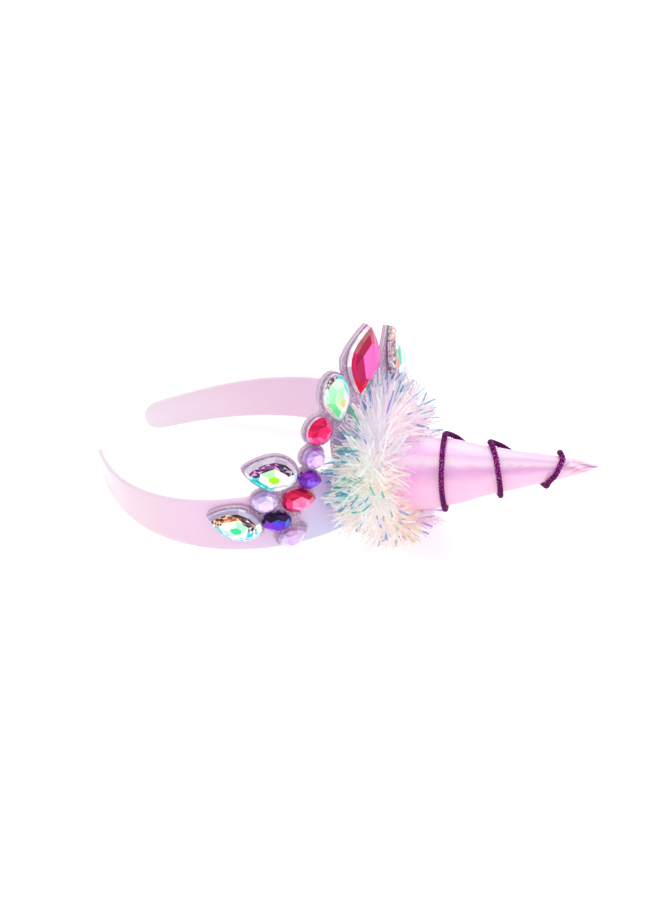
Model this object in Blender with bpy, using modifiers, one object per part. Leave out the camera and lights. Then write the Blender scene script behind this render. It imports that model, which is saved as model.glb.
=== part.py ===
"""Unicorn horn headband, lying on its edge.

A flat plastic band carries a felt backing sheet, cut along the outlines of the stones stuck on it.
A stuffed film horn wound with a twisted cord stands on the sheet inside a ruff of tinsel.

Everything is worked out in the band's own frame: the middle of the band's crown is at the origin, +X
points away from the head, +Z runs along the band's width. A place on the sheet is (run, rise): run is
the distance along the band from the crown, positive on the near arm (-Y) and negative on the far arm,
and rise is the height along the band's width. settle() then lays the whole thing on the floor.
"""
import math

import bmesh
import bpy
from mathutils import Matrix, Vector
from mathutils.geometry import delaunay_2d_cdt

# Band
ARM_LENGTH = 0.1723
BAND_WIDTH = 0.032
BAND_THICKNESS = 0.002
BAND_STATIONS = 36
# Columns: share of the arm's length, bend in radians over one arm length
BEND = ((0.0, 3.24), (0.25, 3.03), (0.5, 2.75), (0.75, 1.87), (1.0, 0.63))
# Columns: share of the arm's length, width as a share of BAND_WIDTH
TAPER = ((0.0, 1.0), (0.33, 0.79), (0.67, 0.61), (1.0, 0.41))

# Backing sheet
SHEET_THICKNESS = 0.002
SHEET_MARGIN = 0.0007
SHEET_HALF_RUN = 0.022
SHEET_BOTTOM = -0.013
SHEET_TOP = 0.046
SHEET_SLICE = 0.0035
# Where the slices start, so that they miss the corners of the outlines
SLICE_SHIFT = 0.37
LEVEL_SHIFT = 0.45
SHEET_LINK = 0.005
# The crest of the sheet leans away from the band, most of all on the far side
LEAN = 0.0080
LEAN_FOOT = 0.010
LEAN_HEAD = 0.042
# Columns: run as a share of the arm's length, lean as a share of LEAN
LEAN_SHAPE = (
    (-0.36, 0.0), (-0.29, 0.15), (-0.22, 0.62), (-0.15, 0.98), (-0.09, 0.9), (0.0, 0.36), (0.1, 0.06), (0.17, 0.0),
)

CLEARANCE = 0.0003

# Stones. STONE is the length of the largest one, and the table's lengths are shares of it.
STONE = 0.032
STONE_HEIGHT = 0.0047
# A pear starts to narrow a little below its middle, and a navette's sides are bowed
PEAR_PINCH = 0.34
PEAR_START = -0.15
PEAR_CURVE = 1.5
PEAR_TIP = 1.04
NAVETTE_LENGTH_CURVE = 1.55
NAVETTE_WIDTH_CURVE = 0.92
GIRDLE_SHARE = 0.34
BREAK_SHARE = 0.72
BREAK_SCALE = 0.79
TABLE_SCALE = 0.56
# Columns: name, outline, run, rise, length, width, turn in degrees (0 points the tip up), colour
ARM_STONES = (
    ("crystal_pear_low", "pear", 2.05, 0.085, 0.69, 0.465, 70.0, "crystal"),
    ("plum_oval", "oval", 1.56, 0.055, 0.385, 0.275, 82.0, "violet"),
    ("lilac_drop", "pear", 1.405, -0.215, 0.385, 0.275, -77.0, "lilac"),
    ("rose_drop", "pear", 1.262, 0.282, 0.445, 0.345, -100.0, "rose"),
    ("lilac_oval", "oval", 1.655, 0.36, 0.345, 0.285, 80.0, "lilac"),
    ("crystal_pear_high", "pear", 1.528, 0.74, 0.67, 0.475, 70.0, "crystal"),
    ("violet_drop", "pear", 1.085, 0.522, 0.32, 0.262, -110.0, "violet"),
    ("lilac_round", "round", 0.99, 0.795, 0.298, 0.298, 0.0, "lilac"),
)
CREST_STONES = (
    ("near_magenta_oval", "oval", 0.86, 1.125, 0.385, 0.36, -30.0, "magenta"),
    ("near_crystal_oval", "pear", 0.56, 1.475, 0.64, 0.41, 180.0, "crystal"),
    ("magenta_navette", "navette", 0.07, 1.765, 0.86, 0.61, -26.0, "magenta"),
    ("far_crystal_navette", "navette", -0.56, 1.48, 0.86, 0.55, 4.0, "crystal"),
    ("far_magenta_oval", "oval", -0.93, 1.125, 0.385, 0.36, 20.0, "magenta"),
)
OUTLINE_SIDES = 12

# Horn, stuffed
HORN_LENGTH = 0.0949
HORN_RADIUS = 0.0160
HORN_BASE = BAND_THICKNESS / 2 + SHEET_THICKNESS + 2 * CLEARANCE
HORN_YAW = math.radians(10.3)
HORN_PITCH = math.radians(4.7)
HORN_SIDES = 28
# Rings of the horn's foot, as shares of its radius
HORN_FOOT = (0.08, 0.4, 0.72)
# Columns: share of the horn's length, radius as a share of HORN_RADIUS
HORN_SHAPE = (
    (0.0, 0.98), (0.12, 0.985), (0.24, 0.955), (0.31, 0.905), (0.38, 0.835), (0.48, 0.69), (0.55, 0.602),
    (0.62, 0.52), (0.69, 0.45), (0.77, 0.365), (0.84, 0.285), (0.9, 0.195), (0.955, 0.105), (1.0, 0.03),
)

# Cord wound round the horn
CORD_DIAMETER = 0.0025
CORD_STEPS = 26
# Columns: turns from below the horn, share of the horn's length
CORD_ROUTE = (
    (-0.38, 0.2), (-0.2, 0.235), (0.0, 0.297), (0.14, 0.332), (0.25, 0.348), (0.38, 0.358), (0.49, 0.352),
    (0.59, 0.338), (0.66, 0.37), (0.85, 0.47), (1.0, 0.55), (1.14, 0.582), (1.27, 0.594), (1.4, 0.585),
    (1.49, 0.563), (1.59, 0.536), (1.67, 0.58), (1.85, 0.69), (2.0, 0.757), (2.1, 0.78), (2.18, 0.797),
    (2.25, 0.828), (2.36, 0.853), (2.45, 0.862), (2.52, 0.85), (2.6, 0.838),
)

# Tinsel ruff: a ring round the horn's foot, a little off the sheet, with locks all round it
RUFF_TUBE = 0.0050
RUFF_RADIUS = HORN_RADIUS + RUFF_TUBE + 2 * CLEARANCE
RUFF_LIFT = 0.0019
RUFF_SEAT = HORN_BASE + RUFF_TUBE + RUFF_LIFT
RUFF_LOCK = 0.0154
RUFF_SIDES = 44
RUFF_ROWS = 12
# Columns: angle round the ring's tube in degrees (0 points away from the horn, 90 along it), length of
# the lock there as a share of RUFF_LOCK
LOCK_SHAPE = (
    (-90.0, 0.3), (-60.0, 0.95), (-30.0, 1.15), (0.0, 1.1), (30.0, 1.0), (60.0, 0.85), (90.0, 0.6), (120.0, 0.1),
)
# Unevenness of the locks: shortest share of the length and what is added to it, and sway in radians and turns
LOCK_SHORTEST = 0.86
LOCK_EXTRA = 0.28
LOCK_SWAY = 0.12
LOCK_TURN = 0.006
# Share of what would lie below the floor that runs on along it
LOCK_ON_FLOOR = 1 / 3
# Locks that reach over the stones pass above their tables
LOCK_FREE_RADIUS = 0.94 * STONE
LOCK_FREE_HEIGHT = 1.6 * STONE_HEIGHT

# How high the crown's middle lies above the floor
CROWN_HEIGHT = 0.0261


def clear_scene():
    for thing in list(bpy.data.objects):
        bpy.data.objects.remove(thing, do_unlink=True)


def read_table(table, x):
    """Reads a table's second column at x, on straight lines between its rows."""
    if x <= table[0][0]:
        return table[0][1]
    for (x0, y0), (x1, y1) in zip(table, table[1:]):
        if x <= x1:
            return y0 + (y1 - y0) * (x - x0) / (x1 - x0)
    return table[-1][1]


def read_smooth(table, x):
    """Reads a table's second column at x, on a curve through its rows."""
    if x <= table[0][0]:
        return table[0][1]
    if x >= table[-1][0]:
        return table[-1][1]
    last = len(table) - 1
    i = next(n for n in range(last) if x <= table[n + 1][0])
    (x0, y0), (x1, y1) = table[i], table[i + 1]
    before, after = table[max(i - 1, 0)], table[min(i + 2, last)]
    slope0 = (y1 - before[1]) / (x1 - before[0])
    slope1 = (after[1] - y0) / (after[0] - x0)
    w = x1 - x0
    u = (x - x0) / w
    return (
        (2 * u**3 - 3 * u**2 + 1) * y0
        + (u**3 - 2 * u**2 + u) * w * slope0
        + (3 * u**2 - 2 * u**3) * y1
        + (u**3 - u**2) * w * slope1
    )


def smoothstep(x):
    x = min(max(x, 0.0), 1.0)
    return x * x * (3 - 2 * x)


def walk_arm(steps=480):
    """Follows one arm from the crown, as (x, y, heading) at equal steps."""
    places = [(0.0, 0.0, 0.0)]
    step = ARM_LENGTH / steps
    for i in range(steps):
        x, y, heading = places[-1]
        turned = heading + read_table(BEND, (i + 0.5) / steps) / steps
        middle = (heading + turned) / 2
        places.append((x - math.sin(middle) * step, y + math.cos(middle) * step, turned))
    return places


ARM = walk_arm()


def arm_place(run):
    """Place and heading of the band's middle surface at a run from the crown, on the +Y side."""
    at = min(max(run / ARM_LENGTH, 0.0), 1.0) * (len(ARM) - 1)
    i = min(int(at), len(ARM) - 2)
    u = at - i
    return tuple(a + (b - a) * u for a, b in zip(ARM[i], ARM[i + 1]))


def band_point(run, rise, out):
    """A point at a distance out from the band's middle surface."""
    x, y, heading = arm_place(abs(run))
    side = -1.0 if run >= 0 else 1.0
    return Vector((x + out * math.cos(heading), side * (y + out * math.sin(heading)), rise))


def band_half_width(run):
    """Half the band's width, with a round end at each tip."""
    half = BAND_WIDTH / 2 * read_table(TAPER, abs(run) / ARM_LENGTH)
    end = BAND_WIDTH / 2 * TAPER[-1][1]
    left = ARM_LENGTH - abs(run)
    if left < end:
        half = math.sqrt(max(end**2 - (end - left) ** 2, 0.0))
    return half


def sheet_point(run, rise, depth):
    """A point on the backing sheet: depth 0 is its inner face, SHEET_THICKNESS its outer one."""
    lean = LEAN * read_smooth(LEAN_SHAPE, run / ARM_LENGTH)
    lean *= smoothstep((rise - LEAN_FOOT) / (LEAN_HEAD - LEAN_FOOT))
    return band_point(run, rise, BAND_THICKNESS / 2 + CLEARANCE + lean + depth)


def paint(thing, colour, roughness, metallic=0.0, coat=0.0):
    """Gives an object its own material."""
    material = bpy.data.materials.new(thing.name)
    material.use_nodes = True
    shader = material.node_tree.nodes["Principled BSDF"]
    shader.inputs["Base Color"].default_value = (*colour, 1.0)
    shader.inputs["Roughness"].default_value = roughness
    shader.inputs["Metallic"].default_value = metallic
    shader.inputs["Coat Weight"].default_value = coat
    thing.data.materials.clear()
    thing.data.materials.append(material)


def add_object(name, mesh, collection):
    thing = bpy.data.objects.new(name, mesh)
    collection.objects.link(thing)
    return thing


def mesh_from(bm, name):
    """Turns a bmesh into a mesh of triangles whose faces point out."""
    bmesh.ops.triangulate(bm, faces=bm.faces[:])
    bmesh.ops.recalc_face_normals(bm, faces=bm.faces[:])
    mesh = bpy.data.meshes.new(name)
    bm.to_mesh(mesh)
    bm.free()
    return mesh


def loft(bm, rings, capped=True):
    """Joins closed rings of points, each with as many points as the next."""
    rows = [[bm.verts.new(point) for point in ring] for ring in rings]
    count = len(rows[0])
    for low, high in zip(rows, rows[1:]):
        for i in range(count):
            j = (i + 1) % count
            bm.faces.new((low[i], low[j], high[j], high[i]))
    if capped:
        bm.faces.new(list(reversed(rows[0])))
        bm.faces.new(rows[-1])
    return rows


def build_band(collection):
    """The band: an open strip along both arms, thickened by Solidify."""
    bm = bmesh.new()
    across = (-1.0, -0.5, 0.0, 0.5, 1.0)
    tip = BAND_WIDTH / 2 * TAPER[-1][1]
    straight = [(ARM_LENGTH - tip) * i / BAND_STATIONS for i in range(BAND_STATIONS + 1)]
    round_end = [ARM_LENGTH - tip * (1 - math.sin(math.radians(a))) for a in (15, 30, 45, 60, 75)]
    one_arm = straight + round_end
    runs = [-run for run in reversed(one_arm[1:])] + one_arm
    rows = []
    for run in runs:
        half = band_half_width(run)
        rows.append([bm.verts.new(band_point(run, half * share, 0.0)) for share in across])
    for low, high in zip(rows, rows[1:]):
        for a, b, c, d in zip(low, low[1:], high[1:], high):
            bm.faces.new((a, d, c, b))
    mesh = bpy.data.meshes.new("headband")
    bm.to_mesh(mesh)
    bm.free()
    band = add_object("headband", mesh, collection)
    thick = band.modifiers.new("Thickness", "SOLIDIFY")
    thick.thickness = BAND_THICKNESS
    thick.offset = 0.0
    thick.use_even_offset = True
    mesh.shade_smooth()
    paint(band, (0.93, 0.62, 0.84), 0.25, coat=0.6)
    return band


def outline(kind, length, width, sides):
    """A stone's outline as points (across, up), with its tip up."""
    points = []
    for i in range(sides):
        a = 2 * math.pi * i / sides
        x, y = math.sin(a), math.cos(a)
        if kind == "pear":
            x *= 1 - PEAR_PINCH * max(y - PEAR_START, 0.0) ** PEAR_CURVE
            if i == 0:
                y = PEAR_TIP
        if kind == "navette":
            bow = (1 - abs(y) ** NAVETTE_LENGTH_CURVE) ** NAVETTE_WIDTH_CURVE
            x = math.copysign(bow, x) if 0 < abs(y) < 1 else x * abs(x)
        points.append((x * width / 2, y * length / 2))
    return points


def turned(points, degrees):
    """Turns an outline to its left, seen from the front."""
    c, s = math.cos(math.radians(degrees)), math.sin(math.radians(degrees))
    return [(x * c - y * s, x * s + y * c) for x, y in points]


def scaled(points, share):
    return [(x * share, y * share) for x, y in points]


def moved(points, x, y):
    return [(px + x, py + y) for px, py in points]


def half_stepped(points):
    """The middles of an outline's sides, pushed out to keep its size."""
    middles = []
    for (x0, y0), (x1, y1) in zip(points, points[1:] + points[:1]):
        middles.append(((x0 + x1) / 2, (y0 + y1) / 2))
    push = 1 / math.cos(math.pi / len(points))
    return scaled(middles, push)


def stone_frame(run, rise, footprint):
    """A matrix whose z axis leaves the sheet, lifted so that the flat foot clears the sheet."""
    reach = STONE / 16
    middle = sheet_point(run, rise, SHEET_THICKNESS)
    across = sheet_point(run - reach, rise, SHEET_THICKNESS) - sheet_point(run + reach, rise, SHEET_THICKNESS)
    up = sheet_point(run, rise + reach, SHEET_THICKNESS) - sheet_point(run, rise - reach, SHEET_THICKNESS)
    normal = across.cross(up).normalized()
    across = up.cross(normal).normalized()
    up = normal.cross(across)
    lift = 0.0
    for x, y in footprint:
        lift = max(lift, (sheet_point(run - x, rise + y, SHEET_THICKNESS) - middle).dot(normal))
    frame = Matrix((across, up, normal)).transposed().to_4x4()
    frame.translation = middle + normal * (lift + CLEARANCE)
    return frame


STONE_PAINT = {
    "crystal": (0.82, 0.93, 0.88),
    "magenta": (0.85, 0.03, 0.32),
    "rose": (0.93, 0.16, 0.36),
    "violet": (0.30, 0.08, 0.66),
    "lilac": (0.70, 0.50, 0.88),
}


def build_stone(row, collection):
    """A flat-backed cut stone: girdle, two rows of crown facets and a table."""
    name, kind, run, rise, length, width, turn, colour = row
    sides = OUTLINE_SIDES + 2 if kind == "navette" else OUTLINE_SIDES
    girdle = turned(outline(kind, length * STONE, width * STONE, sides), turn)
    crown_break = scaled(half_stepped(girdle), BREAK_SCALE)
    table = scaled(girdle, TABLE_SCALE)
    frame = stone_frame(run * STONE, rise * STONE, girdle)

    def lifted(points, share):
        return [frame @ Vector((x, y, share * STONE_HEIGHT)) for x, y in points]

    bm = bmesh.new()
    foot, rim = loft(bm, (lifted(girdle, 0.0), lifted(girdle, GIRDLE_SHARE)), capped=False)
    bends = [bm.verts.new(point) for point in lifted(crown_break, BREAK_SHARE)]
    top = [bm.verts.new(point) for point in lifted(table, 1.0)]
    for i in range(sides):
        j = (i + 1) % sides
        bm.faces.new((rim[i], rim[j], bends[i]))
        bm.faces.new((bends[i], rim[j], bends[j]))
        bm.faces.new((bends[i - 1], bends[i], top[i]))
        bm.faces.new((bends[i], top[j], top[i]))
    bm.faces.new(list(reversed(foot)))
    bm.faces.new(top)
    stone = add_object(name, mesh_from(bm, name), collection)
    paint(stone, STONE_PAINT[colour], 0.05, metallic=0.35, coat=1.0)
    return stone


def stone_rows():
    """All the stones in a chain from the near arm over the crest to the far arm, which mirrors the near one."""
    near, far = [], []
    for name, kind, run, rise, length, width, turn, colour in ARM_STONES:
        near.append(("near_" + name, kind, run, rise, length, width, turn, colour))
        far.append(("far_" + name, kind, -run, rise, length, width, -turn, colour))
    return near + list(CREST_STONES) + far[::-1]


def fill_outlines(outlines):
    """One flat plate over all the outlines, in the sheet's flat layout: x is minus run and y is rise."""
    corners, loops = [], []
    for points in outlines:
        loops.append(list(range(len(corners), len(corners) + len(points))))
        corners.extend(Vector(point) for point in points)
    inside = 1
    places, _, cells, *_ = delaunay_2d_cdt(corners, [], loops, inside, CLEARANCE / 10)
    bm = bmesh.new()
    verts = [bm.verts.new((x, y, 0.0)) for x, y in places]
    for cell in cells:
        bm.faces.new([verts[i] for i in cell])
    bmesh.ops.delete(bm, geom=[v for v in verts if not v.link_faces], context="VERTS")
    bmesh.ops.dissolve_limit(bm, angle_limit=math.radians(1), verts=bm.verts[:], edges=bm.edges[:])
    return bm


def slice_plate(bm, cut, axis):
    """Adds a straight line of points across a flat plate, so that it can bend there."""
    place = [0.0, 0.0, 0.0]
    place[axis] = cut
    normal = [0.0, 0.0, 0.0]
    normal[axis] = 1.0
    everything = bm.verts[:] + bm.edges[:] + bm.faces[:]
    bmesh.ops.bisect_plane(bm, geom=everything, dist=0.0001, plane_co=place, plane_no=normal)


def centre_outline():
    """The sheet's middle, behind the horn: a rounded shield."""
    half_height = (SHEET_TOP - SHEET_BOTTOM) / 2
    middle = (SHEET_TOP + SHEET_BOTTOM) / 2
    points = []
    for i in range(28):
        a = 2 * math.pi * (i + 0.5) / 28
        x = math.copysign(abs(math.cos(a)) ** 0.6, math.cos(a))
        y = math.copysign(abs(math.sin(a)) ** 0.6, math.sin(a))
        points.append((x * SHEET_HALF_RUN, middle + y * half_height))
    return points


def link_outline(start, end):
    """A strip of sheet from the middle of one stone to the middle of the next."""
    a, b = (Vector((-row[2] * STONE, row[3] * STONE)) for row in (start, end))
    middle = (a + b) / 2
    half = (b - a) / 2
    aside = Vector((-half.y, half.x)).normalized() * SHEET_LINK / 2
    corners = (-half - aside, half - aside, half + aside, -half + aside)
    return [tuple(middle + corner) for corner in corners]


def build_sheet(collection):
    """The backing sheet: cut flat as one plate that follows the stones, then bent round the band."""
    rows = stone_rows()
    outlines = [centre_outline()]
    for name, kind, run, rise, length, width, turn, colour in rows:
        size = (length * STONE + 2 * SHEET_MARGIN, width * STONE + 2 * SHEET_MARGIN)
        pad = turned(outline(kind, *size, 20), turn)
        outlines.append(moved(pad, -run * STONE, rise * STONE))
    outlines.extend(link_outline(start, end) for start, end in zip(rows, rows[1:]))
    bm = fill_outlines(outlines)
    reach = max(abs(v.co.x) for v in bm.verts)
    slices = int(reach / SHEET_SLICE)
    for i in range(-slices, slices + 1):
        slice_plate(bm, (i + SLICE_SHIFT) * SHEET_SLICE, 0)
    levels = int(max(abs(v.co.y) for v in bm.verts) / (2 * SHEET_SLICE))
    for i in range(-levels, levels + 1):
        slice_plate(bm, (i + LEVEL_SHIFT) * 2 * SHEET_SLICE, 1)
    bmesh.ops.triangulate(bm, faces=bm.faces[:])
    for v in bm.verts:
        v.co = sheet_point(-v.co.x, v.co.y, 0.0)
    mesh = bpy.data.meshes.new("backing_sheet")
    bm.to_mesh(mesh)
    bm.free()
    sheet = add_object("backing_sheet", mesh, collection)
    thick = sheet.modifiers.new("Thickness", "SOLIDIFY")
    thick.thickness = SHEET_THICKNESS
    thick.offset = 1.0
    paint(sheet, (0.62, 0.38, 0.60), 0.6)
    return sheet


def horn_axes():
    """The horn's own frame at the crown: its axis, then two axes across it, sideways and up."""
    axis = Vector((
        math.cos(HORN_PITCH) * math.cos(HORN_YAW),
        math.cos(HORN_PITCH) * math.sin(HORN_YAW),
        math.sin(HORN_PITCH),
    ))
    side = Vector((0, 0, 1)).cross(axis).normalized()
    return axis, side, axis.cross(side)


def horn_point(along, radius, turn):
    """A point round the horn's axis: along is measured from the crown, turn 0 is down, then near side."""
    axis, side, up = horn_axes()
    a = 2 * math.pi * turn
    return axis * along + (-up * math.cos(a) - side * math.sin(a)) * radius


def horn_radius(share):
    return HORN_RADIUS * read_smooth(HORN_SHAPE, share)


def sheet_front(y, rise, height=0.0):
    """The x at which the sheet's outer face, with its clearance and a height, passes a given y and rise."""
    depth = SHEET_THICKNESS + CLEARANCE + height
    low, high = -0.4 * ARM_LENGTH, 0.4 * ARM_LENGTH
    for _ in range(24):
        run = (low + high) / 2
        if sheet_point(run, rise, depth).y > y:
            low = run
        else:
            high = run
    return sheet_point(run, rise, depth).x


def seat_on_sheet(radius, turn):
    """How far along the horn's axis a line at this radius leaves the sheet's face."""
    along = 0.0
    for _ in range(8):
        point = horn_point(along, radius, turn)
        along += (sheet_front(point.y, point.z) - point.x) / horn_axes()[0].x
    return along


def horn_ring(share, spread):
    """A ring round the horn; the rings of its foot, at share 0, lie along the sheet."""
    ring = []
    for n in range(HORN_SIDES):
        turn = n / HORN_SIDES
        radius = horn_radius(share) * spread
        along = HORN_BASE + share * HORN_LENGTH if share > 0 else seat_on_sheet(radius, turn)
        ring.append(horn_point(along, radius, turn))
    return ring


def build_horn(collection):
    """The stuffed horn: a pointed round form whose foot follows the sheet it stands on."""
    foot = [horn_ring(0.0, spread) for spread in HORN_FOOT]
    bm = bmesh.new()
    loft(bm, foot + [horn_ring(share, 1.0) for share, _ in HORN_SHAPE])
    horn = add_object("horn", mesh_from(bm, "horn"), collection)
    horn.data.shade_smooth()
    horn.data.set_sharp_from_angle(angle=math.radians(60))
    paint(horn, (0.96, 0.74, 0.93), 0.3, coat=0.8)
    return horn


def build_cord(collection):
    """The twisted cord, wound round the horn with most of each turn's advance behind it."""
    curve = bpy.data.curves.new("horn_cord", "CURVE")
    curve.dimensions = "3D"
    curve.bevel_depth = CORD_DIAMETER / 2
    curve.bevel_resolution = 2
    curve.use_fill_caps = True
    first, last = CORD_ROUTE[0][0], CORD_ROUTE[-1][0]
    count = int((last - first) * CORD_STEPS)
    spline = curve.splines.new("POLY")
    spline.points.add(count)
    for i in range(count + 1):
        turn = first + (last - first) * i / count
        share = read_smooth(CORD_ROUTE, turn)
        radius = horn_radius(share) + CORD_DIAMETER / 2 + CLEARANCE
        spline.points[i].co = (*horn_point(HORN_BASE + share * HORN_LENGTH, radius, turn), 1.0)
    cord = add_object("horn_cord", curve, collection)
    paint(cord, (0.42, 0.03, 0.30), 0.35, metallic=0.6)
    return cord


def rest_pitch():
    """How much the band leans back so that its tips touch the floor."""
    depth = -ARM[-1][0]
    tip_half = band_half_width(ARM_LENGTH - BAND_WIDTH * TAPER[-1][1] / 2)
    pitch = 0.0
    for _ in range(20):
        pitch = math.asin((CROWN_HEIGHT - tip_half * math.cos(pitch)) / depth)
    return pitch


def resting():
    """Lays the band's frame on the floor."""
    return Matrix.Translation((0, 0, CROWN_HEIGHT)) @ Matrix.Rotation(-rest_pitch(), 4, "Y")


def lay_on_floor(foot, tip, to_floor, from_floor):
    """Stops a lock at the floor, and lets some of what is left of it lie along the floor."""
    low, high = to_floor @ tip, to_floor @ foot
    if low.z >= 0:
        return tip
    meets = high.lerp(low, high.z / (high.z - low.z))
    meets = meets.lerp(Vector((low.x, low.y, 0.0)), LOCK_ON_FLOOR)
    return from_floor @ meets


def build_ruff(collection):
    """The tinsel ruff: a ring round the horn's foot, each outer face drawn out into a pointed lock."""
    to_floor = resting()
    from_floor = to_floor.inverted()
    rings = []
    for i in range(RUFF_SIDES):
        ring = []
        for j in range(RUFF_ROWS):
            a = 2 * math.pi * (j + 0.5) / RUFF_ROWS
            radius = RUFF_RADIUS + RUFF_TUBE * math.cos(a)
            point = horn_point(RUFF_SEAT + RUFF_TUBE * math.sin(a), radius, i / RUFF_SIDES)
            point.x = max(point.x, sheet_front(point.y, point.z))
            ring.append(point)
        rings.append(ring)
    bm = bmesh.new()
    rows = [[bm.verts.new(point) for point in ring] for ring in rings]
    locks = []
    for i in range(RUFF_SIDES):
        k = (i + 1) % RUFF_SIDES
        for j in range(RUFF_ROWS):
            n = (j + 1) % RUFF_ROWS
            face = bm.faces.new((rows[i][j], rows[i][n], rows[k][n], rows[k][j]))
            angle = 360.0 * (j + 1) / RUFF_ROWS
            if angle > 180:
                angle -= 360
            locks.append((face, i, j, angle))
    bmesh.ops.recalc_face_normals(bm, faces=bm.faces[:])
    for face, i, j, angle in locks:
        if not LOCK_SHAPE[0][0] <= angle <= LOCK_SHAPE[-1][0]:
            continue
        uneven = LOCK_SHORTEST + LOCK_EXTRA * ((i * 7 + j * 5) % 11) / 10
        reach = RUFF_LOCK * read_table(LOCK_SHAPE, angle) * uneven
        sway = math.radians(angle) + LOCK_SWAY * math.sin(i * 2.4 + j)
        foot = face.calc_center_median()
        turn = (i + 0.5) / RUFF_SIDES + LOCK_TURN * math.sin(i * 1.7 + j * 2.1)
        tip = horn_point(RUFF_SEAT + (RUFF_TUBE + reach) * math.sin(sway),
                         RUFF_RADIUS + (RUFF_TUBE + reach) * math.cos(sway), turn)
        tip = lay_on_floor(foot, tip, to_floor, from_floor)
        over_stones = math.hypot(tip.y, tip.z) > LOCK_FREE_RADIUS
        height = LOCK_FREE_HEIGHT if over_stones else 0.0
        tip.x = max(tip.x, sheet_front(tip.y, tip.z, height))
        poked = bmesh.ops.poke(bm, faces=[face])
        poked["verts"][0].co = tip if (tip - foot).length > CLEARANCE else foot
    ruff = add_object("tinsel_ruff", mesh_from(bm, "tinsel_ruff"), collection)
    paint(ruff, (0.93, 0.86, 0.90), 0.3, metallic=0.2)
    return ruff


def settle(pieces):
    """Lays everything on the floor, with the origin below the middle of its box."""
    to_floor = resting()
    for piece in pieces:
        piece.matrix_world = to_floor
    bpy.context.view_layer.update()
    graph = bpy.context.evaluated_depsgraph_get()
    corners = []
    for piece in pieces:
        shape = piece.evaluated_get(graph)
        mesh = shape.to_mesh()
        corners.extend(to_floor @ v.co for v in mesh.vertices)
        shape.to_mesh_clear()
    shift = Vector((
        -(min(c.x for c in corners) + max(c.x for c in corners)) / 2,
        -(min(c.y for c in corners) + max(c.y for c in corners)) / 2,
        -min(c.z for c in corners),
    ))
    for piece in pieces:
        piece.matrix_world = Matrix.Translation(shift) @ to_floor
    return shift


def main():
    clear_scene()
    collection = bpy.data.collections.new("unicorn_horn_headband")
    bpy.context.scene.collection.children.link(collection)
    pieces = [build_band(collection), build_sheet(collection)]
    pieces += [build_stone(row, collection) for row in stone_rows()]
    pieces += [build_horn(collection), build_cord(collection), build_ruff(collection)]
    settle(pieces)


main()
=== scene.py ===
"""Looks of the unicorn horn headband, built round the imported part.

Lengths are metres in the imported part's frame, and colours are sRGB hex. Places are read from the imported
nodes: the crown's middle, the lean of the band, the horn's axis and profile, and each stone's outline.
"""
import math

import bmesh
import bpy
import numpy as np
from mathutils import Matrix, Vector
from mathutils.bvhtree import BVHTree


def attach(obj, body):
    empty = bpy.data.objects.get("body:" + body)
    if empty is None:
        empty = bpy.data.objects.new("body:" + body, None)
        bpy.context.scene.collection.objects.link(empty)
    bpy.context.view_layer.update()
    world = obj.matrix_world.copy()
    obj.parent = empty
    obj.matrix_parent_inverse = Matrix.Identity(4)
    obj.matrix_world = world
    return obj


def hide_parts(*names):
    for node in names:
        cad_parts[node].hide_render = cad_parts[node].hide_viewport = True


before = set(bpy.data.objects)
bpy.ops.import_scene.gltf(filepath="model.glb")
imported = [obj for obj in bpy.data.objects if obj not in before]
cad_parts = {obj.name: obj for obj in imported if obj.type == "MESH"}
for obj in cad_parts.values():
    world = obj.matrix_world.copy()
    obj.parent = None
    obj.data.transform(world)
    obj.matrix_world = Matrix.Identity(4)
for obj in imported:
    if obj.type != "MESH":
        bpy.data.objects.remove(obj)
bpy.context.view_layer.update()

# Camera, placed from the crown's middle
CAMERA_FROM_CROWN = Vector((0.2276, -0.4724, 0.3560))
CAMERA_AZIMUTH = math.radians(27.5)
CAMERA_ELEVATION = math.radians(33.28)
CAMERA_LENS = 59.24
CAMERA_SENSOR = 36.0
AZIMUTH_SIN, AZIMUTH_COS = math.sin(CAMERA_AZIMUTH), math.cos(CAMERA_AZIMUTH)
TILT_SIN, TILT_COS = math.sin(CAMERA_ELEVATION), math.cos(CAMERA_ELEVATION)
VIEW_RIGHT = Vector((AZIMUTH_COS, AZIMUTH_SIN, 0.0))
VIEW_UP = Vector((-AZIMUTH_SIN * TILT_SIN, AZIMUTH_COS * TILT_SIN, TILT_COS))
VIEW_AHEAD = Vector((-AZIMUTH_SIN * TILT_COS, AZIMUTH_COS * TILT_COS, -TILT_SIN))

# Stage
FLOOR_SIZE = 6.0
FLOOR_GAP = 0.0002
FLOOR_COLOUR = (0.94, 0.94, 0.95, 1.0)
FLOOR_GLOW = 0.28
WHITE = (1.0, 1.0, 1.0, 1.0)
WORLD_STRENGTH = 0.8
LIGHTS_AIM = Vector((0, 0, 0.02))
# Columns: name, place, size, power
LIGHTS = (
    ("key", (-0.5, 0.7, 1.2), 1.0, 6.0),
    ("fill", (0.9, -0.9, 0.9), 1.2, 3.0),
)

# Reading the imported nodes: half the slice taken at the crown, least step between two rings of the horn, and
# passes that find its axis
CROWN_SLICE = 0.0005
RING_GAP = 0.0008
AXIS_PASSES = 4
# Corners this close are one, and faces that turn less than this are one flat face
JOINED_WITHIN = 0.000002
FLAT_ANGLE = math.radians(0.5)
# Gap between pieces that touch
PIECE_GAP = 0.0003

# Band
BAND_EDGE = 0.0005
BAND_EDGE_STEPS = 3
BAND_ROUNDED_FROM = math.radians(40)
BAND_SHARP_FROM = math.radians(50)
# Headings along the arms are taken from a point this far behind the crown
BAND_TURN_DEPTH = 0.055
# Height over which the colours of the two edges blend, and the share of soft clouds over them
BAND_BLEND = 0.026
BAND_CLOUDS = 0.10
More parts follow.
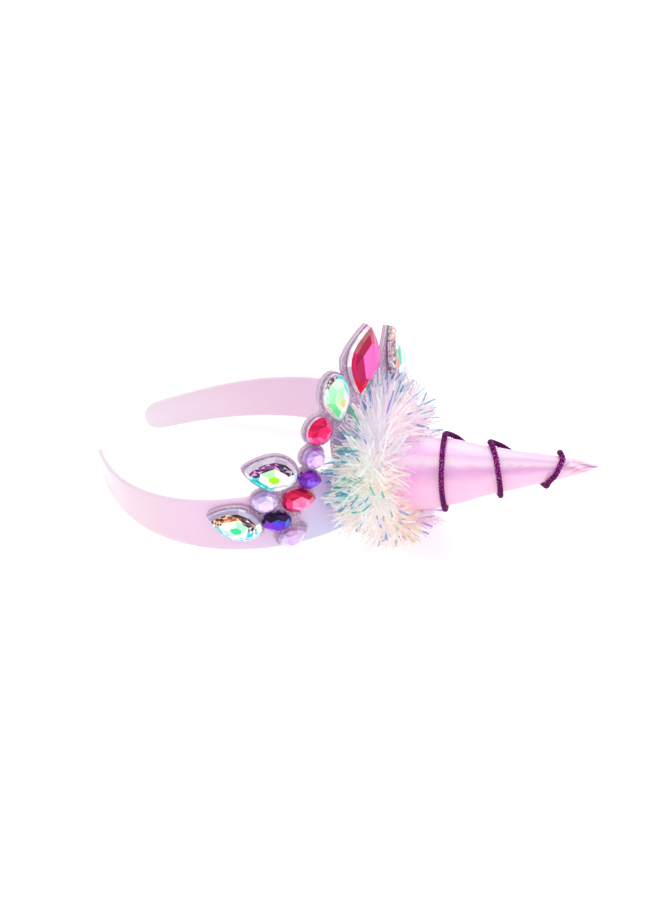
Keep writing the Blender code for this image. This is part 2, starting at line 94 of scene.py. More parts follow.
# Columns: distance along the arm from the crown, colour along the upper edge, colour along the lower edge.
# The plastic's own colour is pearly pink; the lilac and pale blue towards the crown, most along the lower
# edge, are painted iridescent sheen.
BAND_COLOURS = (
    (0.000, "D6B4E2", "CDC8EC"),
    (0.022, "D3B2E0", "C6CDEE"),
    (0.040, "E2BEE8", "CFD4EC"),
    (0.055, "EBC3E7", "E2CEE6"),
    (0.080, "ECCBE5", "EACEE2"),
    (0.120, "ECD0E0", "ECD3E0"),
    (0.172, "ECDDE6", "EDE2E8"),
)

# Backing sheet: the felt's colours
FELT_COLOUR = "D0ADC9"
FELT_DARK = "B48FAF"
# Share of the flakes that stay dull, and the colours of the others: real glitter flakes, whose bright colours
# are painted glints
GLITTER_FROM = 0.86
GLITTER = ((0.0, "FFD9F2"), (0.5, "D8B8EE"), (1.0, "FFFFFF"))
# Colours across the cut edge, from the front to the back
FELT_EDGE = (
    (0.05, "A58CA3"), (0.12, "DDD6DF"), (0.42, "D8CDD8"),
    (0.5, "9C7C96"), (0.58, "EBCBDF"), (0.9, "C79BBA"),
)
# Depths at which they show (white): not on the front or the back
FELT_CUT = ((0.02, "000000"), (0.05, "FFFFFF"), (0.97, "FFFFFF"), (0.99, "000000"))
# Least cosine to the way outward of the faces that tell whether a corner is in front or behind
FLAT_FACING = 0.5
# A point in the head, this far behind the crown, tells which way is outward
HEAD_DEPTH = 0.06

# Stones, in shares of a stone's height and outline
RIM_HEIGHT = 0.34
SHOULDER_HEIGHT = 0.66
SHOULDER_SCALE = 0.87
TABLE_CORNERS = 6
TABLE_SCALE = 0.58
SPOT_SCALE = 0.24
SPOT_OFFSET = (0.05, -0.13)
FOOT_LAYER = 0.1
CORE_HEIGHT = 0.2
FOIL_BACK = "C9C4D2"
STONE_METALLIC = 0.6
CRYSTAL_METALLIC = 0.4
# An outline stays sharp where it turns more than this
SHARP_TURN = math.radians(52)
# Rows of facets that show the foil's painted reflections as a mosaic, and how many times they are cut
MOSAICS = {
    "crystal_pear_low": ("break",),
    "crystal_pear_high": ("break",),
    "crystal_oval": ("rim",),
    "crystal_navette": ("side", "rim", "break"),
}
MOSAIC_CUTS = 2
# Stones with a higher wall: height of the wall, height of the shoulder
HIGH_WALLS = {"magenta_navette": (0.48, 0.72)}

# Horn
HORN_LENGTH = 0.0949
HORN_BASE = 0.0036
HORN_SIDES = 112
HORN_STEPS = 150
HORN_SEED = 5
HORN_LEAST_RADIUS = 0.0002
# Height of the folds, and the radius from which they have it
HORN_PUFF = 0.0003
FULL_PUFF_RADIUS = 0.008
# The crinkled tip: where it starts, how far it changes the radius, and how far its painted highlight and
# shade on the crinkles change the colour, in shares of them
TIP_START = 0.84
TIP_CRINKLE = 0.34
TIP_GLINT = 0.3
# Columns: waves round the horn, radians along it, height
FOLD_WAVES = ((3, 2.2, 1.0), (7, -5, 0.6))
LUMP_WAVES = ((5, 22, 0.8),)
LUMPS_ALONG = 9
CRINKLE_WAVES = ((4, 60, 1.0), (9, -95, 0.7))
# Patches that wobble the painted highlight and reflection bands and place the cream glints, as waves that
# sway.
# Columns: waves, sway, radians of the sway along the horn
PATCH_ALONG = (31, 2, 19)
PATCH_ROUND = (12, 6, 14)
# How far folds, patches and crinkles shift the colours, in turns round the horn
FOLD_SHIFT = 0.006
PATCH_SHIFT = 0.008
CRINKLE_SHIFT = 0.03
# Cream glints: where round the horn, most share, and the patch height and steepness at which they start
HORN_CREAM = "FBE8DC"
CREAM_TURNS = (0.35, 0.41)
CREAM_SHARE = 0.5
CREAM_FROM = 0.35
CREAM_SLOPE = 3
HORN_CLOUDS = 0.12

# Cord
CORD_DIAMETER = 0.0025
CORD_STEPS = 900
CORD_PLIES = 3
CORD_PITCH = 0.0042
PLY_SHARE = 0.54
PLY_SIDES = 8
# Turn at which the cord's beads shine most, and how narrowly
BEADS_AT = 0.36
BEADS_POWER = 4
# Columns: turns from below the horn, share of the horn's length
CORD_ROUTE = (
    (-0.38, 0.2), (-0.2, 0.235), (0.0, 0.297), (0.14, 0.332), (0.25, 0.348), (0.38, 0.358), (0.49, 0.352),
    (0.59, 0.338), (0.66, 0.37), (0.85, 0.47), (1.0, 0.55), (1.14, 0.582), (1.27, 0.594), (1.4, 0.585),
    (1.49, 0.563), (1.59, 0.536), (1.67, 0.58), (1.85, 0.69), (2.0, 0.757), (2.1, 0.78), (2.18, 0.797),
    (2.25, 0.828), (2.36, 0.853), (2.45, 0.862), (2.52, 0.85), (2.6, 0.838),
)

# Tinsel
RUFF_SEED = 21
RUFF_RADIUS = 0.0216
RUFF_SEAT = 0.0105
# Strands start within this share of the ring's tube
RUFF_TUBE = 0.0046
RUFF_CORE = 0.8
RUFF_SPAN = 0.03
RUFF_FAN = (-95.0, 125.0)
# The ring's two windings part by this either way below the horn, and meet above it
RUFF_WIND = 0.003
# Columns: turn round the horn (0 down, 0.25 near side, 0.5 up), strand length
RUFF_REACH = (
    (0.0, 0.0085), (0.12, 0.0088), (0.22, 0.0115), (0.32, 0.0175), (0.42, 0.0225), (0.5, 0.0225),
    (0.75, 0.016), (0.9, 0.011), (1.0, 0.009),
)
FORWARD_ANGLE = math.radians(70)
FORWARD_SHARE = 0.8
# Forward strands are longer near the floor, and fewer elsewhere
FORWARD_LOW = 1.6
LOW_TURN = 0.13
FORWARD_THINNED = 0.5
# Strands that lean back, towards the head, on the near side
BACK_SHARE = 0.2
BACK_TURNS = (0.2, 0.46)
BACK_FAN = (-105.0, -45.0)
BACK_LENGTH = 0.018
CRUMPLED_SHARE = 0.16
CRUMPLED_LENGTH = 0.0062
CRUMPLED_SPREAD = (0.6, 1.2)
STRANDS = 3900
STRAND_STEPS = 5
STRAND_WIDTH = 0.0008
WIDTH_SPREAD = (0.7, 1.2)
LENGTH_SPREAD = (0.72, 1.08)
STRAND_SPREAD = 0.34
# Swing to the side and bend, for plain and for crumpled strands
STRAND_SWAY = (0.45, 1.5)
STRAND_BEND = (0.1, 0.3)
STRAND_TWIST = 1.6
TIP_WIDER = 1.25
TIP_FROM = (0.4, 0.75)
STRAND_SHADE = 0.84
# Distance from the ruff's middle beyond which tips are often vivid, and their share within it
VIVID_FROM = 0.55
VIVID_INSIDE = 0.25
# How far strands stay off the horn, off what lies behind, and off the floor, and the share of the second
# that is added to the third
HORN_CLEAR = 0.0006
BEHIND_CLEAR = (0.0003, 0.0022)
FLOOR_CLEAR = 0.0004
FLOOR_LIFT = 0.4
# The part of a strand that would pass the floor is divided by this
FLOOR_CUT = 3
RAY_REACH = 0.08
# Shares of the film that glow through and that are clear
GLOW_SHARE = 0.4
CLEAR_SHARE = 0.22


def linear(text):
    """A linear colour from sRGB hex."""
    parts = [int(text[i : i + 2], 16) / 255 for i in (0, 2, 4)]
    return [c / 12.92 if c <= 0.04045 else ((c + 0.055) / 1.055) ** 2.4 for c in parts]


def node_mesh(name):
    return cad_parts[name].data


def node_points(name):
    """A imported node's own corners, each once."""
    points = np.array([v.co for v in node_mesh(name).vertices])
    return np.unique(points.round(7), axis=0)


def smooth_table(table, x):
    """Reads a table's second column at x, on a curve through its rows."""
    if x <= table[0][0]:
        return table[0][1]
    if x >= table[-1][0]:
        return table[-1][1]
    last = len(table) - 1
    i = next(n for n in range(last) if x <= table[n + 1][0])
    (x0, y0), (x1, y1) = table[i], table[i + 1]
    before, after = table[max(i - 1, 0)], table[min(i + 2, last)]
    slope0 = (y1 - before[1]) / (x1 - before[0])
    slope1 = (after[1] - y0) / (after[0] - x0)
    w = x1 - x0
    u = (x - x0) / w
    return (
        (2 * u**3 - 3 * u**2 + 1) * y0
        + (u**3 - 2 * u**2 + u) * w * slope0
        + (3 * u**2 - 2 * u**3) * y1
        + (u**3 - u**2) * w * slope1
    )


def colour_table(table):
    """A table's places, and its two columns of hex colours as linear ones."""
    first, second = (np.array([linear(row[column]) for row in table]) for column in (1, 2))
    return [row[0] for row in table], first, second


def colours_at(x, places, colours):
    """Linear colours read between a table's places."""
    return np.stack([np.interp(x, places, colours[:, c]) for c in range(3)], -1)


class BandFrame:
    """The band's own frame: the crown's middle, out from the head, across it, and up along the width."""

    def __init__(self):
        points = node_points("headband")
        points = points[abs(points[:, 1]) < CROWN_SLICE]
        points = points[points[:, 2].argsort()]
        self.middle = Vector(points.mean(0))
        self.up = (Vector(points[-2:].mean(0)) - Vector(points[:2].mean(0))).normalized()
        self.across = Vector((0.0, 1.0, 0.0))
        self.out = self.across.cross(self.up).normalized()
        self.head = self.middle - self.out * HEAD_DEPTH


def corner_rings(points, axis):
    """Corners that share a place along an axis, as groups in order along it."""
    along = points @ np.array(axis)
    order = along.argsort()
    ends = np.where(np.diff(along[order]) > RING_GAP)[0] + 1
    return np.split(points[order], ends)


class HornForm:
    """The horn's axis and profile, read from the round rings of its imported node."""

    def __init__(self):
        points = node_points("horn")
        axis = Vector(np.linalg.eigh(np.cov(points.T))[1][:, -1])
        axis = axis if axis.x > 0 else -axis
        for _ in range(AXIS_PASSES):
            rings = corner_rings(points, axis)[1:]
            axis = Vector(rings[-1].mean(0) - rings[0].mean(0)).normalized()
        line = Vector(rings[0].mean(0))
        self.axis = axis
        self.start = line + axis * (crown.middle - line).dot(axis)
        self.side = crown.up.cross(axis).normalized()
        self.top = axis.cross(self.side)
        self.profile = []
        for ring in rings:
            centre = ring.mean(0)
            along = (Vector(centre) - self.start).dot(axis)
            self.profile.append((along, float(np.linalg.norm(ring - centre, axis=1).mean())))

    def point(self, along, radius, turn):
        """A point round the axis: along is measured from the crown, turn 0 is down, then near side."""
        a = 2 * math.pi * turn
        return self.start + self.axis * along + (-self.top * math.cos(a) - self.side * math.sin(a)) * radius

    def radius(self, along):
        """The profile's radius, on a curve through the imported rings."""
        return max(smooth_table(self.profile, along), 0.0)


crown = BandFrame()
horn_form = HornForm()


# Shader sockets whose names aren't plain words
SOCKETS = {"specular": "Specular IOR Level", "thin_film_ior": "Thin Film IOR"}


def new_material(name, **values):
    """A Principled material; values name the constants of the shader's own sockets."""
    material = bpy.data.materials.new(name)
    material.use_nodes = True
    tree = material.node_tree
    shader = tree.nodes["Principled BSDF"]
    for key, value in values.items():
        shader.inputs[SOCKETS.get(key, key.replace("_", " ").title())].default_value = value
    return material, tree, shader


def add_node(tree, kind, **values):
    """Adds a shader node; values name its inputs or its own settings."""
    node = tree.nodes.new(kind)
    for key, value in values.items():
        name = key.replace("_", " ").title()
        if name in node.inputs:
            node.inputs[name].default_value = value
        else:
            setattr(node, key, value)
    return node


def object_texture(tree, kind="ShaderNodeTexNoise", **values):
    """A texture in the object's own space, noise unless said otherwise."""
    place = add_node(tree, "ShaderNodeTexCoord")
    texture = add_node(tree, kind, **values)
    tree.links.new(place.outputs["Object"], texture.inputs["Vector"])
    return texture


def add_bump(tree, shader, height, distance, strength=1.0):
    bump = add_node(tree, "ShaderNodeBump", strength=strength, distance=distance)
    tree.links.new(height, bump.inputs["Height"])
    tree.links.new(bump.outputs["Normal"], shader.inputs["Normal"])


def attribute(tree, name, output):
    """A stored attribute, as the output named Color or Fac."""
    return add_node(tree, "ShaderNodeAttribute", attribute_name=name).outputs[output]


def mixed(tree, factor, first, second, blend="MIX"):
    """A mix of two colour sockets; factor is a number or a socket."""
    node = add_node(tree, "ShaderNodeMix", data_type="RGBA", blend_type=blend)
    if isinstance(factor, bpy.types.NodeSocket):
        tree.links.new(factor, node.inputs[0])
    else:
        node.inputs[0].default_value = factor
    tree.links.new(first, node.inputs[6])
    tree.links.new(second, node.inputs[7])
    return node.outputs[2]


def mixed_shader(tree, factor, first, second):
    node = tree.nodes.new("ShaderNodeMixShader")
    node.inputs[0].default_value = factor
    tree.links.new(first, node.inputs[1])
    tree.links.new(second, node.inputs[2])
    return node.outputs[0]


def ramped(tree, value, *stops):
    """A ramp from stops of (place, hex colour)."""
    ramp = tree.nodes.new("ShaderNodeValToRGB")
    elements = ramp.color_ramp.elements
    while len(elements) < len(stops):
        elements.new(0.5)
    for element, (place, colour) in zip(elements, stops):
        element.position = place
        element.color = (*linear(colour), 1.0)
    tree.links.new(value, ramp.inputs["Fac"])
    return ramp.outputs["Color"]


def add_object(name, data):
    added = bpy.data.objects.new(name, data)
    bpy.context.scene.collection.objects.link(added)
    return added


def link_object(name, mesh, material, node):
    """Adds a piece that rides on the one body, and stands for the node named."""
    piece = add_object(name, mesh)
    mesh.materials.clear()
    mesh.materials.append(material)
    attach(piece, "root")
    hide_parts(node)
    return piece


def bmesh_of(name):
    """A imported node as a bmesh, with its corners joined and its flat faces whole."""
    bm = bmesh.new()
    bm.from_mesh(node_mesh(name))
    bmesh.ops.remove_doubles(bm, verts=bm.verts[:], dist=JOINED_WITHIN)
    bmesh.ops.dissolve_limit(bm, angle_limit=FLAT_ANGLE, verts=bm.verts[:], edges=bm.edges[:])
    return bm


def finish_mesh(bm, name):
    mesh = bpy.data.meshes.new(name)
    bm.normal_update()
    bm.to_mesh(mesh)
    bm.free()
    return mesh


def add_tube(bm, rings, step):
    """A closed tube through rings of points, whose faces run to the next point (1) or the one before (-1)."""
    rows = [[bm.verts.new(point) for point in ring] for ring in rings]
    for low, high in zip(rows, rows[1:]):
        for i in range(len(low)):
            j = (i + step) % len(low)
            bm.faces.new((low[i], low[j], high[j], high[i]))
    bm.faces.new(rows[0][::-step])
    bm.faces.new(rows[-1][::step])


def finish_tubes(bm, name):
    bmesh.ops.recalc_face_normals(bm, faces=bm.faces[:])
    mesh = finish_mesh(bm, name)
    mesh.shade_smooth()
    return mesh


def store_tint(mesh, domain, values):
    """Stores linear colours, one a point or one a corner, as the attribute that the materials read."""
    colours = np.ones((len(values), 4), np.float32)
    colours[:, :3] = values
    mesh.color_attributes.new("tint", "FLOAT_COLOR", domain).data.foreach_set("color", colours.ravel())


def surface_behind():
    """What lies behind the horn and the tinsel: sheet, band and stones, as one tree for rays."""
    verts, faces = [], []
    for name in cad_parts:
        if name in ("tinsel_ruff", "horn", "horn_cord"):
            continue
        base = len(verts)
        mesh = node_mesh(name)
        verts += [v.co.copy() for v in mesh.vertices]
        faces += [[base + i for i in face.vertices] for face in mesh.polygons]
    return BVHTree.FromPolygons(verts, faces)


def band_material():
    material, tree, shader = new_material(
        "band_plastic", roughness=0.28, coat_weight=0.5, coat_roughness=0.08, subsurface_weight=0.35,
        subsurface_radius=(0.004, 0.003, 0.0035), subsurface_scale=1.0,
    )
    cloud = object_texture(tree, scale=60.0, detail=3.0)
    soft = mixed(tree, BAND_CLOUDS, attribute(tree, "tint", "Color"), cloud.outputs["Color"], "OVERLAY")
    tree.links.new(soft, shader.inputs["Base Color"])
    fine = object_texture(tree, scale=900.0, detail=2.0)
    add_bump(tree, shader, fine.outputs["Fac"], distance=0.00002)
    return material


def build_band():
    """The plastic band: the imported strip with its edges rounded, shaded smooth."""
    mesh = finish_mesh(bmesh_of("headband"), "plastic_band")
    band = link_object("plastic_band", mesh, band_material(), "headband")
    bevel = band.modifiers.new("Edges", "BEVEL")
    bevel.width = BAND_EDGE
    bevel.segments = BAND_EDGE_STEPS
    bevel.limit_method = "ANGLE"
    bevel.angle_limit = BAND_ROUNDED_FROM
    graph = bpy.context.evaluated_depsgraph_get()
    rounded = bpy.data.meshes.new_from_object(band.evaluated_get(graph))
    band.modifiers.clear()
    band.data = rounded
    rounded.shade_smooth()
    rounded.set_sharp_from_angle(angle=BAND_SHARP_FROM)
    local = np.array([v.co for v in rounded.vertices]) - np.array(crown.middle)
    out, across, rise = (local @ np.array(axis) for axis in (crown.out, crown.across, crown.up))
    places, high, low = colour_table(BAND_COLOURS)
    heading = np.arctan2(abs(across), out + BAND_TURN_DEPTH)
    reach = heading / heading.max() * places[-1]
    share = np.clip(0.5 + rise / BAND_BLEND, 0, 1)[:, None]
    top, bottom = colours_at(reach, places, high), colours_at(reach, places, low)
    store_tint(rounded, "POINT", top * share + bottom * (1 - share))


def felt_material():
    material, tree, shader = new_material(
        "glitter_felt", roughness=0.8, specular=0.3, sheen_weight=0.2, sheen_roughness=0.4
    )
    cloud = object_texture(tree, scale=420.0, detail=5.0)
    felt = ramped(tree, cloud.outputs["Fac"], (0.3, FELT_DARK), (0.7, FELT_COLOUR))
    flakes = object_texture(tree, "ShaderNodeTexVoronoi", scale=2600.0)
    split = tree.nodes.new("ShaderNodeSeparateColor")
    tree.links.new(flakes.outputs["Color"], split.inputs["Color"])
    chosen = add_node(tree, "ShaderNodeMath", operation="GREATER_THAN")
    chosen.inputs[1].default_value = GLITTER_FROM
    tree.links.new(split.outputs["Red"], chosen.inputs[0])
    spark = ramped(tree, split.outputs["Green"], *GLITTER)
    front = mixed(tree, chosen.outputs[0], felt, spark)
    depth = attribute(tree, "depth", "Fac")
    edge, is_edge = ramped(tree, depth, *FELT_EDGE), ramped(tree, depth, *FELT_CUT)
    tree.links.new(mixed(tree, is_edge, front, edge), shader.inputs["Base Color"])
    add_bump(tree, shader, flakes.outputs["Distance"], distance=0.0002, strength=0.5)
    return material


def build_sheet():
    """The felt sheet; a depth attribute, 0 in front and 1 behind, draws the two layers on its cut edge."""
    bm = bmesh_of("backing_sheet")
    bm.normal_update()
    depths = []
    for v in bm.verts:
        away = v.co - crown.head
        away -= crown.up * away.dot(crown.up)
        flat_faces = [f for f in v.link_faces if abs(f.normal.dot(away.normalized())) > FLAT_FACING]
        facing = sum((f.normal.dot(away) * f.calc_area() for f in flat_faces), 0.0)
        depths.append(0.0 if facing > 0 else 1.0)
    mesh = finish_mesh(bm, "felt_sheet")
    mesh.attributes.new("depth", "FLOAT", "POINT").data.foreach_set("value", depths)
    sheet = link_object("felt_sheet", mesh, felt_material(), "backing_sheet")


def stone_material(slot):
    # The facet colours also glow a little through the emission: a painted glow, as the stones are no lamp
    material, tree, shader = new_material(
        slot, metallic=CRYSTAL_METALLIC if slot == "crystal_stone" else STONE_METALLIC, roughness=0.18,
        coat_weight=0.35, coat_roughness=0.02, specular=0.2, emission_strength=0.14,
    )
    tint = attribute(tree, "tint", "Color")
    tree.links.new(tint, shader.inputs["Base Color"])
    tree.links.new(tint, shader.inputs["Emission Color"])
    return material


# Facet colours of the stones, seen from the front: each stone's own colour, with painted reflections and
# glints of the foil and surroundings, and painted shade on the facets turned from the light. Columns: row of
# facets, lowest and highest place across, lowest and highest place up (each -1 to 1), colours to choose from.
# The first line of the row that fits is used, or else the row's last line.
WHOLE = (-1, 1, -1, 1)
LOOKS = {
    "crystal_pear_low": (
        ("side", *WHOLE, "D7D3E6 C7BFD8 F2F0F8"),
        ("rim", -1, 1, 0.3, 1, "B9B2CC C8BFD6 A9A0BE"),
        ("rim", -1, 1, -0.15, 0.3, "BFE9F0 FFFFFF 9FD8E6"),
        ("rim", -1, 0.3, -1, -0.15, "8CD8E0 D6F2F6 FFFFFF 6CC4D8"),
        ("rim", -1, 1, -1, -0.15, "5E97D0 7FB8E6 BDE6EE FFFFFF"),
        ("break", 0.25, 1, -0.1, 1, "2A2228 B88E86 3D3340 6A5560 EBD9D0"),
        ("break", -1, 0.25, 0.12, 1, "C98A63 F0B890 8A4A38 3A1D22 FBE6D2 B4683F"),
        ("break", -1, 1, -1, 0.12, "8BE3D6 FFFFFF 57C6D2 E9FBF6 3FB6D8"),
        ("table", -1, 0, 0, 1, "EFEBDD F6F2E9 E3F2DE"),
        ("table", 0, 1, 0, 1, "A6EBC6 8FDDB0 D9F4DE"),
        ("table", -1, 0, -1, 0, "BDEFD5 E6F8EA 8FE6B8"),
        ("table", 0, 1, -1, 0, "FFFFFF F3FFFA DDF8EE"),
        ("spot", *WHOLE, "12C97E 2FD98F 1FD488"),
    ),
    "crystal_pear_high": (
        ("side", *WHOLE, "D9D2E4 C9BEDA F4F0F8"),
        ("rim", -1, 1, 0.3, 1, "CDBFD3 BDB0CC DCCCDD"),
        ("rim", -1, -0.1, -1, 0.05, "22C8BE 57DCCB 14B4C8 A8EEE4"),
        ("rim", -1, -0.2, -1, 0.3, "E6F6F4 C8EEE8 FFFFFF"),
        ("rim", -1, 1, -1, 0.3, "FFFFFF DDF5F6 F4FBFF 9BE0E8"),
        ("break", 0.35, 1, 0, 1, "1D1A2B 6B5670 2E2440 C9B4C4"),
        ("break", -1, 0.35, 0.1, 1, "5A2A66 C777B4 2F1740 8E4A8E E3A3D2 3C2350"),
        ("break", -1, 0.1, -1, 0.1, "22D0BE 5FE3D3 14B8C4 A8F2E8 2CC8C8"),
        ("break", -1, 1, -1, 0.1, "FFFFFF CFF3F2 F3FDFB"),
        ("table", -0.6, 0.5, 0.2, 1, "9BE48F 8FDE9C B4EDA8"),
        ("table", -1, 1, 0, 1, "F4ECEC FFF6F2 F7E9EE"),
        ("table", -1, 1, -1, 0, "F6F2E6 FFFFFF F1E9E2 E2F3D2"),
        ("spot", *WHOLE, "9BE60F A9EC1C 8FDC0A"),
    ),
    "crystal_oval": (
        ("side", *WHOLE, "D7D3DC C3BCCB F4F2F8"),
        ("rim", -1, 0, 0.55, 1, "6E5A66 B98AA8 3C3038 E9C9DE"),
        ("rim", 0, 1, 0.35, 1, "66D9DE BDF2F2 3FC9C4"),
        ("rim", -1, -0.2, -1, 0.6, "D9F7E4 A9F0C4 F4FFF8"),
        ("rim", -1, 1, -1, 0.4, "BDF3E6 E6F6FF FFFFFF 8FE0E0"),
        ("break", 0, 1, 0.3, 1, "2FC7B0 8FE8E0 57D4DA E3FBFA"),
        ("break", -1, -0.1, -1, 0.5, "8FEFA8 A9F5BC 74E592 C9FBD6"),
        ("break", -1, 1, -1, 0.3, "E2F7E8 FFFFFF C8E9F0 F4F9E2"),
        ("table", -1, 0, -1, 1, "C4F4C4 DDF6D2 B2EFBE"),
        ("table", 0, 1, 0, 1, "DDE8F8 E4DAF6 F2F4DA"),
        ("table", 0, 1, -1, 0, "FFFFFF D9E27A F6F8EE"),
        ("spot", *WHOLE, "C9CF4A D8D98A"),
    ),
    "crystal_navette": (
        ("side", -1, 0, -1, 1, "A8989E C4B8BC 80727A E0D4D8 B8A0A6 EEE6EA"),
        ("side", 0, 1, -1, 1, "C9C3CE AFA7B4 E9E6EC"),
        ("rim", -1, -0.5, -0.75, 1, "A08C94 C8BCC0 7A6A72 E4D8DC B89CA4"),
        ("rim", -0.5, 0, -0.75, 1, "F2A79E E8B4AC FFFFFF F6D8D2"),
        ("rim", -1, 1, -1, -0.75, "36A3D6 8FD8E8 B5C8E0"),
        ("rim", 0, 1, -1, 1, "F4FFFB D9F8EA BFF0DC"),
        ("break", -1, -0.62, -1, 1, "C8A0A4 F2A79E EFA29A D8B0A8"),
        ("break", -0.62, 0.1, 0.35, 1, "FFFFFF F2F8F4 E8E4E4"),
        ("break", -0.62, 0.1, -0.15, 0.35, "74DBAC 8AE0B8 66D0A0"),
        ("break", -0.62, 0.1, -1, -0.15, "FFFFFF EAF9F2 D2F7E6"),
        ("break", 0.1, 1, -1, 1, "D2F7E6 FFFFFF A9EFCF"),
        ("table", -1, 1, 0.1, 1, "FFFFFF EAF9F2 86DDB4"),
        ("table", -1, 1, -1, 0.1, "74DBAC FFFFFF F3FBF7"),
        ("spot", *WHOLE, "6FDCAE 8BE3BE"),
    ),
    "magenta_navette": (
        ("side", -1, 0.2, -1, 1, "FFFFFF F4EEF4 EDE4EE"),
        ("side", *WHOLE, "D98FB4 E8B4CC"),
        ("rim", -1, -0.1, 0.55, 1, "B5606C C0707C"),
        ("rim", -1, -0.1, 0.1, 0.55, "BE0A4C C8104E"),
        ("rim", -1, -0.1, -0.5, 0.1, "CC0858 B80650 D6105E"),
        ("rim", -1, -0.1, -1, -0.5, "E00A44 D60030"),
        ("rim", -0.1, 1, 0.5, 1, "C9848A C07078"),
        ("rim", -0.1, 1, -0.6, 0.5, "FF6CC0 FF62BA F25CB0"),
        ("rim", -0.1, 1, -1, -0.6, "EE3A74 E0507E"),
        ("break", -1, 0, 0.4, 1, "B5224E C02A58"),
        ("break", -1, 0, -0.3, 0.4, "C60856 B00450"),
        ("break", -1, 0, -1, -0.3, "DE0044 D2003C"),
        ("break", 0, 1, 0.5, 1, "D2708E C86080"),
        ("break", 0, 1, -1, 0.5, "FF5CB8 FF64BC FA54B0"),
        ("table", *WHOLE, "FF5CB8 FF60BA FF58B4"),
        ("spot", *WHOLE, "FF5CB8 FF62BC"),
    ),
    "magenta_oval": (
        ("side", *WHOLE, "D9C4DC E8D6E4 C8A0BC"),
        ("rim", -1, 0.2, -0.2, 1, "DA0048 C80044 E8105C"),
        ("rim", *WHOLE, "D82478 EE5AA0 CC1C68 FF86BC"),
        ("break", -1, 0.4, 0, 1, "E20050 D2004A EC0C5A C40046"),
        ("break", *WHOLE, "F0509C E43A88 FF72B4 DA2C78"),
        ("table", -1, 0.5, 0, 1, "E2004E EE105C D80048"),
        ("table", *WHOLE, "F04C96 FF70B0 E63A84 F85A9E"),
        ("spot", *WHOLE, "F03880 E42470"),
    ),
    "lilac_round": (
        ("side", *WHOLE, "C8A8D8 D9C4E6"),
        ("rim", -1, 0.2, 0, 1, "A880CC B890D4 9A70BE"),
        ("rim", *WHOLE, "C49ADC B088D0 E0C6EE"),
        ("break", -1, 0.2, 0.1, 1, "B68EDA CCA8E6 A47CC8"),
        ("break", *WHOLE, "D2ACE8 C49AE0 E8CCF6"),
        ("table", *WHOLE, "DDB8F4 E6C6FA D4AAEE"),
        ("spot", *WHOLE, "E8C8FA E0BCF6"),
    ),
    "violet_drop": (
        ("side", *WHOLE, "5A3A86 B49ACB"),
        ("rim", -1, 1, 0.2, 1, "6A1A9C 8422A8 5A148C"),
        ("rim", -1, 1, -1, 0.2, "7C4ACC 8858D4 6C3CC0"),
        ("break", -1, 1, 0.2, 1, "8420B4 7018A4 9428BC"),
        ("break", -1, 1, -1, 0.2, "7444D2 8656DC 6636C2"),
        ("table", -1, 1, 0.1, 1, "6A1EB4 7E2EC4"),
        ("table", -1, 1, -1, 0.1, "8058E0 7A50DA 8A62E4"),
        ("spot", *WHOLE, "7F5AE0 8864E2"),
    ),
    "rose_drop": (
        ("side", *WHOLE, "B84A78 E2A4C2"),
        ("rim", 0.4, 1, 0.1, 1, "F0883C E04A3C D81E50"),
        ("rim", -1, 1, 0.2, 1, "C4043C B00038 D40A4C"),
        ("rim", -1, 0, -1, 0.2, "C81052 E02C6C D41A5C"),
        ("rim", 0, 1, -1, 0.2, "E86CA0 F48CB6 D24A84"),
        ("break", -1, 0.7, 0.2, 1, "C80440 D80A4E B4003A"),
        ("break", -1, -0.2, -1, 0.2, "E4326E EC4C82"),
        ("break", -1, 1, -1, 0.2, "F884B4 F06CA4 FF9CC4"),
        ("table", -1, 1, 0, 1, "FF6C9C FF7AA8 FA5E94"),
        ("table", -1, 1, -1, 0, "F88CC0 FF9AC8 F27EB4"),
        ("spot", *WHOLE, "FF6496 FF709E"),
    ),
    "lilac_oval": (
        ("side", *WHOLE, "B8A0D0 D2C2E4"),
        ("rim", -1, 1, 0.3, 1, "C4A8DC D2B8E6 B898D0"),
        ("rim", -1, 1, -1, 0.3, "B898D0 D2BCE8 E2CEF0"),
        ("break", 0.2, 1, -0.2, 1, "A890D4 C4B4EA E0D2F6"),
        ("break", -1, 0.2, 0, 1, "CEBCEE C0ACE4"),
        ("break", -1, 1, -1, 0.2, "D0AEE6 E8D2F6 BC98DA"),
        ("table", -1, 1, 0.1, 1, "DCC4F2 E4D2F8 FFFFFF"),
        ("table", -1, 1, -1, 0.1, "E6C6F4 E0BCF0 EED6FA"),
        ("spot", *WHOLE, "DEC4F4 E8D0F8"),
    ),
    "plum_oval": (
        ("side", *WHOLE, "4A2870 A78CBE"),
        ("rim", -1, 1, 0.1, 1, "1C0830 2E1046 4A2860"),
        ("rim", -1, 1, -1, 0.1, "6A1EA0 8A3CC0 5A1690"),
        ("break", -1, 1, 0.1, 1, "160626 240C3E 3A1A58"),
        ("break", 0.4, 1, -0.4, 0.1, "3C6CD0 5A4ED2"),
        ("break", -1, 1, -1, 0.1, "7416BE 8222CC 6A10AE"),
        ("table", -1, 1, 0, 1, "3E36C4 4A40CC 3430B0"),
        ("table", -1, 1, -1, 0, "6A20C4 7A22CE"),
        ("spot", *WHOLE, "4E3CCC 5A38CC"),
    ),
    "lilac_drop": (
        ("side", *WHOLE, "B49CC8 D6C8E4"),
        ("rim", -1, 1, 0.4, 1, "D8B0DC E0BEE4 CCA2D2"),
        ("rim", -1, 1, -1, 0.4, "CDB8E2 DECEEE C0A8D8"),
        ("break", -1, 1, 0.3, 1, "DDB8E4 D6AEDE E6CAEC"),
        ("break", -1, 1, -1, 0.3, "D8C4EA E0D0F0"),
        ("table", *WHOLE, "D6B8EC D0B0E8 DCC2F0"),
        ("spot", *WHOLE, "D8BCEE D4B8EC"),
    ),
}

